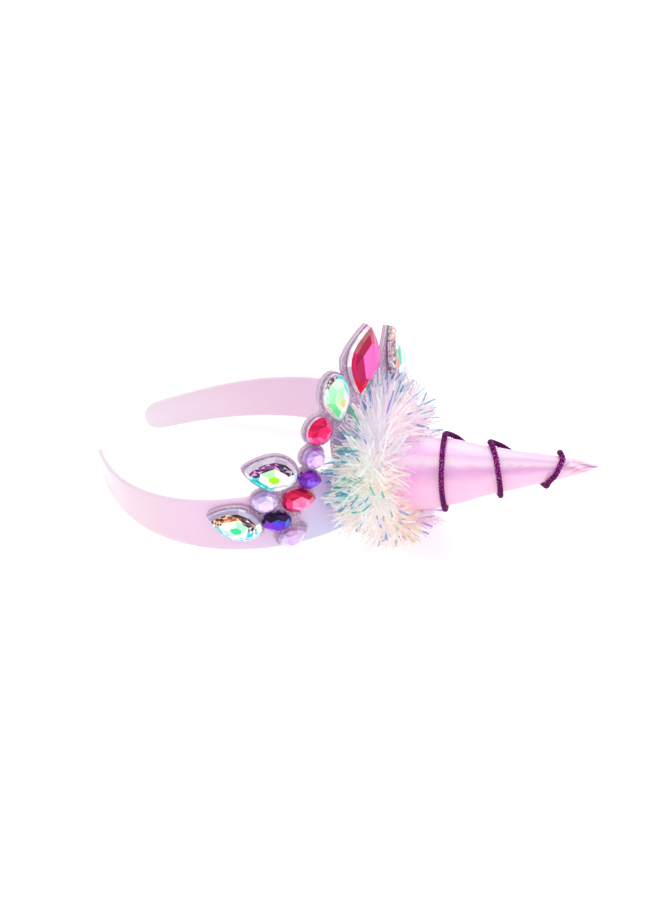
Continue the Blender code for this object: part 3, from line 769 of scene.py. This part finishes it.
# A look is named as its stones' nodes end, and its first word gives the record's slot, apart from these
SLOT_COLOURS = {"plum": "violet"}


def stone_slot(look):
    colour = look.split("_")[0]
    return SLOT_COLOURS.get(colour, colour) + "_stone"


def stone_plane(name):
    """A stone's own plane and height: a point of its foot, right, up and out, seen from the front."""
    areas = {}
    for face in node_mesh(name).polygons:
        key = tuple(round(c, 2) for c in face.normal)
        total, normal = areas.get(key, (0.0, Vector()))
        areas[key] = (total + face.area, normal + face.normal * face.area)
    out = -max(areas.values(), key=lambda entry: entry[0])[1].normalized()
    centre = Vector(node_points(name).mean(0))
    if out.dot(centre - crown.head) < 0:
        out = -out
    up = (Vector((0, 0, 1)) - out * out.z).normalized()
    right = up.cross(out)
    heights = (node_points(name) - np.array(centre)) @ np.array(out)
    foot = centre + out * float(heights.min())
    return foot, right, up, out, float(heights.max() - heights.min())


def stone_outline(name, foot, right, up, out, height):
    """The foot's corners as (right, up), in order round the stone, and their middle."""
    local = node_points(name) - np.array(foot)
    low = local[local @ np.array(out) < FOOT_LAYER * height]
    flat = np.stack([low @ np.array(right), low @ np.array(up)], 1)
    flat = np.unique(flat.round(6), axis=0)
    middle = flat.mean(0)
    angle = np.arctan2(*(flat - middle).T)
    return flat[angle.argsort()], middle


def rounded_outline(points):
    """Twice as many corners, on a curve through the outline that keeps its sharp tips."""
    count = len(points)
    result = []
    for i in range(count):
        a, b, c, d = (points[(i + k) % count] for k in (-1, 0, 1, 2))
        sharp = []
        for before, here, after in ((a, b, c), (b, c, d)):
            u, v = here - before, after - here
            sharp.append(abs(math.atan2(u[0] * v[1] - u[1] * v[0], u @ v)) > SHARP_TURN)
        if all(sharp):
            middle = (b + c) / 2
        elif sharp[0]:
            middle = 3 / 8 * b + 6 / 8 * c - 1 / 8 * d
        elif sharp[1]:
            middle = 3 / 8 * c + 6 / 8 * b - 1 / 8 * a
        else:
            middle = 9 / 16 * (b + c) - 1 / 16 * (a + d)
        result += [b, middle]
    return result


def facet_colour(look, row, across, up, rng):
    lines = [line for line in LOOKS[look] if line[0] == row]
    fits = [line for line in lines if line[1] <= across <= line[2] and line[3] <= up <= line[4]]
    names = (fits or lines[-1:])[0][5].split()
    return linear(names[rng.integers(len(names))])


def split_triangle(points, times):
    """A triangle cut into four, so many times."""
    if times == 0:
        return [points]
    a, b, c = points
    ab, bc, ca = (a + b) / 2, (b + c) / 2, (c + a) / 2
    small = []
    for part in ((a, ab, ca), (ab, b, bc), (ca, bc, c), (ab, bc, ca)):
        small += split_triangle(part, times - 1)
    return small


def cut_facet(points, times):
    """A facet left whole, or as a fan of triangles each cut further."""
    if times == 0:
        return [points]
    middle = np.mean(points, 0)
    small = []
    for here, after in zip(points, points[1:] + points[:1]):
        small += split_triangle((here, after, middle), times - 1)
    return small


def stone_facets(low, high, shoulder, table, spot, picks):
    """A stone's facets as row and corners: wall, rim, break, table, and the spot of light on the table."""
    sides, count = len(low), len(shoulder)
    facets = []
    for i in range(sides):
        j = (i + 1) % sides
        facets.append(("side", [low[i], low[j], high[j], high[i]]))
    for k in range(count):
        outer = [high[(2 * k + i) % sides] for i in range(3)]
        facets.append(("rim", [*outer, shoulder[(k + 1) % count], shoulder[k]]))
    for k, (start, end) in enumerate(zip(picks, picks[1:])):
        outer = [shoulder[i % count] for i in range(start, end + 1)]
        facets.append(("break", [*outer, table[k + 1], table[k]]))
        facets.append(("table", [table[k], table[k + 1], spot[k + 1], spot[k]]))
    return [*facets, ("spot", spot[:-1])]


def build_stone(name, look, material, seed):
    """A cut stone with its packed outline: girdle, two rows of crown facets, and a table over its foil."""
    rng = np.random.default_rng(seed)
    foot, right, up, out, height = stone_plane(name)
    corners, middle = stone_outline(name, foot, right, up, out, height)
    rim = rounded_outline(corners)
    half = abs(np.array(rim) - middle).max(0)
    mirrored = name.startswith("far_") and "navette" not in name

    def place(point, share):
        return np.array(foot + right * float(point[0]) + up * float(point[1]) + out * (share * height))

    def ring(points, centre, scale, share):
        return [place(centre + (p - middle) * scale, share) for p in points]

    wall, bend = HIGH_WALLS.get(look, (RIM_HEIGHT, SHOULDER_HEIGHT))
    picks = [round(k * len(corners) / TABLE_CORNERS) for k in range(TABLE_CORNERS + 1)]
    picked = [corners[pick % len(corners)] for pick in picks]
    low, high = ring(rim, middle, 1.0, 0.0), ring(rim, middle, 1.0, wall)
    shoulder = ring(rim[0::2], middle, SHOULDER_SCALE, bend)
    table = ring(picked, middle, TABLE_SCALE, 1.0)
    spot = ring(picked, middle + half * np.array(SPOT_OFFSET), SPOT_SCALE, 1.0)
    core = place(middle, CORE_HEIGHT)
    verts, faces, colours = [], [], []

    def add_face(points, colour):
        faces.append(tuple(range(len(verts), len(verts) + len(points))))
        verts.extend(tuple(p) for p in points)
        colours.extend([colour] * len(points))

    for row, points in stone_facets(low, high, shoulder, table, spot, picks):
        for part in cut_facet(points, MOSAIC_CUTS if row in MOSAICS.get(look, ()) else 0):
            centre = np.mean(part, 0)
            at = (centre - np.array(foot)) @ np.array((right, up)).T
            across, rise = np.clip((at - middle) / half, -1, 1)
            colour = facet_colour(look, row, -across if mirrored else across, rise, rng)
            normal = np.cross(part[1] - part[0], part[-1] - part[0])
            outward = centre - core if row == "side" else np.array(out)
            add_face(part if normal @ outward > 0 else part[::-1], colour)
    add_face(low, linear(FOIL_BACK))
    mesh = bpy.data.meshes.new(name)
    mesh.from_pydata(verts, [], faces)
    store_tint(mesh, "CORNER", colours)
    link_object("cut_" + name, mesh, material, name)


def build_stones():
    glossy = {slot: stone_material(slot) for slot in dict.fromkeys(map(stone_slot, LOOKS))}
    for seed, name in enumerate(sorted(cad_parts)):
        for look in LOOKS:
            if name.endswith(look):
                build_stone(name, look, glossy[stone_slot(look)], seed)


def horn_material():
    # The tint also glows a little through the emission: a painted glow, as the horn is no lamp
    material, tree, shader = new_material(
        "horn_film", roughness=0.36, metallic=0.1, coat_weight=0.3, coat_roughness=0.1, specular=0.3,
        thin_film_thickness=420.0, thin_film_ior=1.3, emission_strength=0.1,
    )
    tint = attribute(tree, "tint", "Color")
    cloud = object_texture(tree, scale=130.0, detail=4.0)
    soft = mixed(tree, HORN_CLOUDS, tint, cloud.outputs["Color"], "OVERLAY")
    tree.links.new(soft, shader.inputs["Base Color"])
    tree.links.new(tint, shader.inputs["Emission Color"])
    return material


# Columns: turn round the horn (0 down, 0.25 near side, 0.5 up), colour at the foot, colour at the tip. The
# film's own colour is pink; the darker orchid band near 0.325 is a painted reflection, the pale band from
# 0.375 to 0.40 a painted highlight, and the lighter top painted light from above.
HORN_COLOURS = (
    (0.00, "F8BEE0", "F9CFE2"),
    (0.12, "F9C4DE", "FACBE0"),
    (0.20, "F9BEE2", "F9C8E2"),
    (0.265, "F8BCE4", "F8C6E2"),
    (0.325, "E9ACE2", "DFA2D4"),
    (0.345, "F0BEE8", "E6B0DA"),
    (0.375, "FCE6FB", "F4D2E8"),
    (0.40, "FADCF8", "EFCBE6"),
    (0.425, "F3C4F4", "EFC0E6"),
    (0.48, "FBD9F4", "FADAEF"),
    (0.56, "F9CDEB", "FBDCF0"),
    (0.70, "F4BEE4", "F6C8E6"),
    (0.85, "F2B8E0", "F5C4E2"),
    (1.00, "F8BEE0", "F9CFE2"),
)


def waves(table, around, along, phases):
    """The sum of a table's waves at an angle round the horn and a share along it."""
    return sum(
        height * math.sin(turns * around + run * along + phase)
        for (turns, run, height), phase in zip(table, phases)
    )


def swaying(x, along, count, sway, sway_run):
    """A wave of x that sways to and fro along the horn."""
    return math.sin(count * x + sway * math.sin(sway_run * along))


def build_horn():
    """The stuffed film horn, with soft long folds in its skin and a crinkled tip."""
    phases = np.random.default_rng(HORN_SEED).uniform(0, 2 * math.pi, 6)
    behind = surface_behind()
    (first, foot_radius), last = horn_form.profile[0], horn_form.profile[-1][0]
    places, at_foot, at_tip = colour_table(HORN_COLOURS)
    cream_colour = np.array(linear(HORN_CREAM))
    foot = []
    for i in range(HORN_SIDES):
        start = horn_form.point(first, foot_radius, i / HORN_SIDES)
        hit = behind.ray_cast(start, -horn_form.axis, first * 2)[0]
        foot.append(first - (start - hit).dot(horn_form.axis) + PIECE_GAP)
    rows, colours = [], []
    for k in range(HORN_STEPS + 1):
        share = k / HORN_STEPS
        near_tip = min(max((share - TIP_START) / (1 - TIP_START), 0.0), 1.0)
        row = []
        for i in range(HORN_SIDES):
            turn = i / HORN_SIDES
            a = 2 * math.pi * turn
            along = foot[i] + (last - foot[i]) * share
            radius = horn_form.radius(along)
            fold = waves(FOLD_WAVES, a, share, phases[:2])
            fold += waves(LUMP_WAVES, a, share, phases[2:3]) * math.sin(LUMPS_ALONG * share + phases[3])
            crinkle = waves(CRINKLE_WAVES, a, share, phases[4:])
            bulge = HORN_PUFF * fold * min(radius / FULL_PUFF_RADIUS, 1.0)
            bulge += radius * TIP_CRINKLE * near_tip * crinkle
            row.append(horn_form.point(along, max(radius + bulge, HORN_LEAST_RADIUS), turn))
            patch = swaying(share, share, *PATCH_ALONG) * swaying(a, share, *PATCH_ROUND)
            shifted = turn + FOLD_SHIFT * fold * (1 - near_tip)
            shifted += PATCH_SHIFT * patch
            shifted += CRINKLE_SHIFT * near_tip * crinkle
            low, high = colours_at(shifted, places, at_foot), colours_at(shifted, places, at_tip)
            tint = (low * (1 - share) + high * share) * (1 + TIP_GLINT * near_tip * crinkle)
            cream = CREAM_SHARE * min(max(patch - CREAM_FROM, 0.0) * CREAM_SLOPE, 1.0)
            cream *= CREAM_TURNS[0] < turn < CREAM_TURNS[1]
            colours.append(tint * (1 - cream) + cream_colour * cream)
        rows.append(row)
    bm = bmesh.new()
    add_tube(bm, rows, -1)
    mesh = finish_tubes(bm, "film_horn")
    store_tint(mesh, "POINT", colours)
    horn = link_object("film_horn", mesh, horn_material(), "horn")


def cord_material():
    material, tree, shader = new_material("twisted_cord", roughness=0.4, metallic=0.3, specular=0.1)
    glint = object_texture(tree, scale=1800.0, detail=2.0)
    plain = ramped(tree, glint.outputs["Fac"], (0.38, "42003A"), (0.52, "6A0860"), (0.66, "8A1E7E"))
    # Bright peaks on the braid: painted highlights, shown where the cord turns towards the front
    bead_highlights = ramped(tree, glint.outputs["Fac"], (0.44, "5A004E"), (0.56, "960E86"), (0.65, "F08CDE"))
    facing = attribute(tree, "tint", "Fac")
    tree.links.new(mixed(tree, facing, plain, bead_highlights), shader.inputs["Base Color"])
    add_bump(tree, shader, glint.outputs["Fac"], distance=0.0001)
    return material


def turned(first, second, angle):
    """The direction at an angle from the first towards the second."""
    return first * math.cos(angle) + second * math.sin(angle)


def build_cord():
    """The cord, three plies twisted round its route on the horn."""
    first, last = CORD_ROUTE[0][0], CORD_ROUTE[-1][0]
    turns = first + (last - first) * np.arange(CORD_STEPS + 1) / CORD_STEPS
    centres = []
    for turn in turns.tolist():
        along = HORN_BASE + smooth_table(CORD_ROUTE, turn) * HORN_LENGTH
        radius = horn_form.radius(along) + CORD_DIAMETER / 2 + PIECE_GAP
        centres.append(horn_form.point(along, radius, turn))
    run = 0.0
    ply = CORD_DIAMETER / 2 * PLY_SHARE
    offset = CORD_DIAMETER / 2 - ply
    rings = [[] for _ in range(CORD_PLIES)]
    for i, centre in enumerate(centres):
        tangent = (centres[min(i + 1, CORD_STEPS)] - centres[max(i - 1, 0)]).normalized()
        if i:
            run += (centre - centres[i - 1]).length
        outward = centre - horn_form.start
        outward -= horn_form.axis * outward.dot(horn_form.axis)
        normal = (outward - tangent * outward.dot(tangent)).normalized()
        binormal = tangent.cross(normal)
        for p in range(CORD_PLIES):
            twist = 2 * math.pi * (run / CORD_PITCH + p / CORD_PLIES)
            middle = centre + turned(normal, binormal, twist) * offset
            angles = (2 * math.pi * s / PLY_SIDES for s in range(PLY_SIDES))
            rings[p].append([middle + turned(normal, binormal, angle) * ply for angle in angles])
    bm = bmesh.new()
    for ply_rings in rings:
        add_tube(bm, ply_rings, 1)
    mesh = finish_tubes(bm, "twisted_cord")
    # Where the painted bead highlights show: on the turn of each ring towards the near side
    facing = np.clip(np.cos(2 * math.pi * (turns - BEADS_AT)), 0, 1) ** BEADS_POWER
    store_tint(mesh, "POINT", np.tile(np.repeat(facing, PLY_SIDES), CORD_PLIES)[:, None])
    link_object("twisted_cord", mesh, cord_material(), "horn_cord")


def tinsel_material():
    # The strand colours also glow through the emission: a painted glow for light scattered among the strands
    material, tree, shader = new_material("tinsel", roughness=0.25, coat_weight=0.3, emission_strength=0.28)
    tint = attribute(tree, "tint", "Color")
    tree.links.new(tint, shader.inputs["Base Color"])
    tree.links.new(tint, shader.inputs["Emission Color"])
    glow = tree.nodes.new("ShaderNodeBsdfTranslucent")
    tree.links.new(tint, glow.inputs["Color"])
    both = mixed_shader(tree, GLOW_SHARE, shader.outputs[0], glow.outputs[0])
    clear = tree.nodes.new("ShaderNodeBsdfTransparent")
    film = mixed_shader(tree, CLEAR_SHARE, both, clear.outputs[0])
    tree.links.new(film, tree.nodes["Material Output"].inputs["Surface"])
    return material


# Strand colours. Columns: least share right, least and most share up of the ruff's middle (-1 to 1), film
# colours, tip colours, share of strands with such a tip. The tip colours are painted iridescent glints on the
# strands' ends. The first line that fits is used, and the last fits everywhere.
STRAND_LOOKS = (
    (0.5, -9.0, -0.2, "F4E2F0 E6CCE8 FFF6FA E2CEEA FBE6EE",
     "A98CD6 8F8FDC B07CC0", 0.16),
    (0.1, -9.0, -0.35, "FFF2E4 F8E6D6 FFFFFF F3DED8 F0E2D2 FFF6EE",
     "B9A0E0 8FA0E0 D8C0A0", 0.08),
    (-9.0, -9.0, -0.6, "FFF8EC FFFFFF FBF1DE F6F4F8 FBEAEE",
     "8A8FD0 A0A0D8 5FA8C8 30A0B8", 0.07),
    (0.22, -0.35, 0.5, "F4D2F0 FBE4F6 F0CAEE FFF2FA F8DAF0 FFE8EC",
     "1F9DB4 2FA8C8 6C7CD2 9A6CC8", 0.24),
    (0.25, -9.0, 9.0, "FFEAEE FCEFF6 FFFFFF F8E6F8 FFF6EC FFE2EA",
     "2A9DB8 4C7BD6 8A6CD0 58B8C8", 0.16),
    (-9.0, 0.35, 9.0, "FFFFFF F4ECF8 FDEEF2 ECF3FA FFF8F2 F6E4F4",
     "0A98B0 16B4A6 28BA8E 2C8CD0 7274D4", 0.14),
    (-9.0, -9.0, 9.0, "FFFAEE FFFFFF FCF4E2 F2F8F4 FBE8EE E8F6F0",
     "0A98BC 16ACB8 14B4A2 2488D0 1A9CC0", 0.25),
)


def strand_look(right, up):
    fitting = (row for row in STRAND_LOOKS if right >= row[0] and row[1] <= up <= row[2])
    body, tips, share = next(fitting)[3:]
    return body.split(), tips.split(), share


def strand_root(rng, turn, angle, crumpled):
    """A strand's first point, on the ring, and its heading."""
    core = rng.uniform(0.0, RUFF_CORE) * RUFF_TUBE
    wind = RUFF_WIND * rng.choice((-1.0, 1.0)) * math.cos(math.pi * turn)
    seat = RUFF_SEAT + wind + core * math.sin(angle)
    base = horn_form.point(seat, RUFF_RADIUS + core * math.cos(angle), turn)
    spread = angle + STRAND_SPREAD * rng.standard_normal()
    outward = (horn_form.point(0, 1, turn) - horn_form.start).normalized()
    sideways = horn_form.axis.cross(outward) * (STRAND_SWAY[crumpled] * rng.standard_normal())
    return base, (turned(outward, horn_form.axis, spread) + sideways).normalized()


def kept_clear(point, lift, behind):
    """A strand's point, moved off the horn, what lies behind, and the floor."""
    along = (point - horn_form.start).dot(horn_form.axis)
    from_axis = point - horn_form.start - horn_form.axis * along
    least = horn_form.radius(along) + HORN_CLEAR
    if 0 < from_axis.length < least:
        point += from_axis.normalized() * (least - from_axis.length)
    hit = behind.ray_cast(point + horn_form.axis * RAY_REACH, -horn_form.axis, RAY_REACH * 2)[0]
    if hit is not None and (point - hit).dot(horn_form.axis) < lift:
        point = hit + horn_form.axis * lift
    point.z = max(point.z, FLOOR_CLEAR + lift * FLOOR_LIFT)
    return point


def strand_path(rng, behind):
    """A strand's points from the ring outward, kept off the floor, the horn and what lies behind."""
    leans_back = rng.uniform() < BACK_SHARE
    turn = rng.uniform(*(BACK_TURNS if leans_back else (0.0, 1.0)))
    angle = math.radians(rng.uniform(*(BACK_FAN if leans_back else RUFF_FAN)))
    low = min(turn, 1 - turn) < LOW_TURN
    if angle > FORWARD_ANGLE and not low and rng.uniform() < FORWARD_THINNED:
        angle -= math.pi / 2
    crumpled = bool(rng.uniform() < CRUMPLED_SHARE)
    base, heading = strand_root(rng, turn, angle, crumpled)
    reach = BACK_LENGTH if leans_back else smooth_table(RUFF_REACH, turn)
    length = reach * rng.uniform(*LENGTH_SPREAD)
    if angle > FORWARD_ANGLE:
        length *= FORWARD_LOW if low else FORWARD_SHARE
    if crumpled:
        length = min(length, CRUMPLED_LENGTH * rng.uniform(*CRUMPLED_SPREAD))
    if base.z + heading.z * length < 0:
        meets = -base.z / heading.z
        length = meets + (length - meets) / FLOOR_CUT
    bend = Vector(rng.standard_normal(3)) * STRAND_BEND[crumpled]
    bend -= heading * bend.dot(heading)
    lift = rng.uniform(*BEHIND_CLEAR)
    shares = [k / STRAND_STEPS for k in range(STRAND_STEPS + 1)]
    return [kept_clear(base + heading * length * s + bend * length * s * s, lift, behind) for s in shares]


def build_ruff():
    """The tinsel: flat film strands with cut ends, fanned out from a ring round the horn's foot."""
    rng = np.random.default_rng(RUFF_SEED)
    behind = surface_behind()
    centre = horn_form.point(RUFF_SEAT, 0.0, 0.0)
    verts, faces, colours = [], [], []
    for _ in range(STRANDS):
        points = strand_path(rng, behind)
        tip = (points[-1] - centre) / RUFF_SPAN
        across, up = tip.dot(VIEW_RIGHT), tip.dot(VIEW_UP)
        body, tips, share = strand_look(across, up)
        if math.hypot(across, up) < VIVID_FROM:
            share *= VIVID_INSIDE
        plain = np.array(linear(body[rng.integers(len(body))])) * rng.uniform(STRAND_SHADE, 1.0)
        vivid = np.array(linear(tips[rng.integers(len(tips))]))
        tip_start = rng.uniform(*TIP_FROM) if rng.uniform() < share else math.inf
        roll, twist = rng.uniform(0, math.pi), rng.uniform(-STRAND_TWIST, STRAND_TWIST)
        half = STRAND_WIDTH / 2 * rng.uniform(*WIDTH_SPREAD)
        first = len(verts)
        for k, point in enumerate(points):
            s = k / STRAND_STEPS
            tangent = (points[min(k + 1, STRAND_STEPS)] - points[max(k - 1, 0)]).normalized()
            normal = tangent.orthogonal().normalized()
            other = tangent.cross(normal)
            in_tip = s > tip_start
            wide = turned(normal, other, roll + twist * s) * (half * (TIP_WIDER if in_tip else 1))
            verts += [tuple(point - wide), tuple(point + wide)]
            colours += [vivid if in_tip else plain] * 2
        for a in range(first, first + 2 * STRAND_STEPS, 2):
            faces.append((a, a + 1, a + 3, a + 2))
    mesh = bpy.data.meshes.new("tinsel_strands")
    mesh.from_pydata(verts, [], faces)
    store_tint(mesh, "POINT", colours)
    link_object("tinsel_strands", mesh, tinsel_material(), "tinsel_ruff")


def build_stage():
    """A white surface under soft, nearly even light that comes a little from the left and behind."""
    bpy.ops.mesh.primitive_plane_add(size=FLOOR_SIZE, location=(0, 0, -FLOOR_GAP))
    floor = bpy.context.object
    floor.name = "floor"
    material = new_material(
        "floor_white", roughness=0.6, specular=0.2, base_color=FLOOR_COLOUR, emission_color=WHITE,
        emission_strength=FLOOR_GLOW,
    )[0]
    floor.data.materials.append(material)
    world = bpy.data.worlds.new("surround")
    bpy.context.scene.world = world
    world.use_nodes = True
    background = world.node_tree.nodes["Background"]
    background.inputs["Color"].default_value = WHITE
    background.inputs["Strength"].default_value = WORLD_STRENGTH
    for name, place, size, power in LIGHTS:
        light = bpy.data.lights.new(name, "AREA")
        light.energy = power
        light.size = size
        lamp = add_object(name, light)
        lamp.location = place
        lamp.rotation_mode = "QUATERNION"
        lamp.rotation_quaternion = (LIGHTS_AIM - lamp.location).to_track_quat("-Z", "Y")


def build_camera():
    """The camera at the photo's angle."""
    data = bpy.data.cameras.new("camera")
    data.lens = CAMERA_LENS
    data.sensor_width = CAMERA_SENSOR
    camera = add_object("camera", data)
    turn = VIEW_AHEAD.to_track_quat("-Z", "Y").to_matrix().to_4x4()
    camera.matrix_world = Matrix.Translation(crown.middle + CAMERA_FROM_CROWN) @ turn
    bpy.context.scene.camera = camera


bpy.context.scene.view_settings.view_transform = "Standard"
build_camera()
build_stage()
build_band()
build_sheet()
build_stones()
build_horn()
build_cord()
build_ruff()
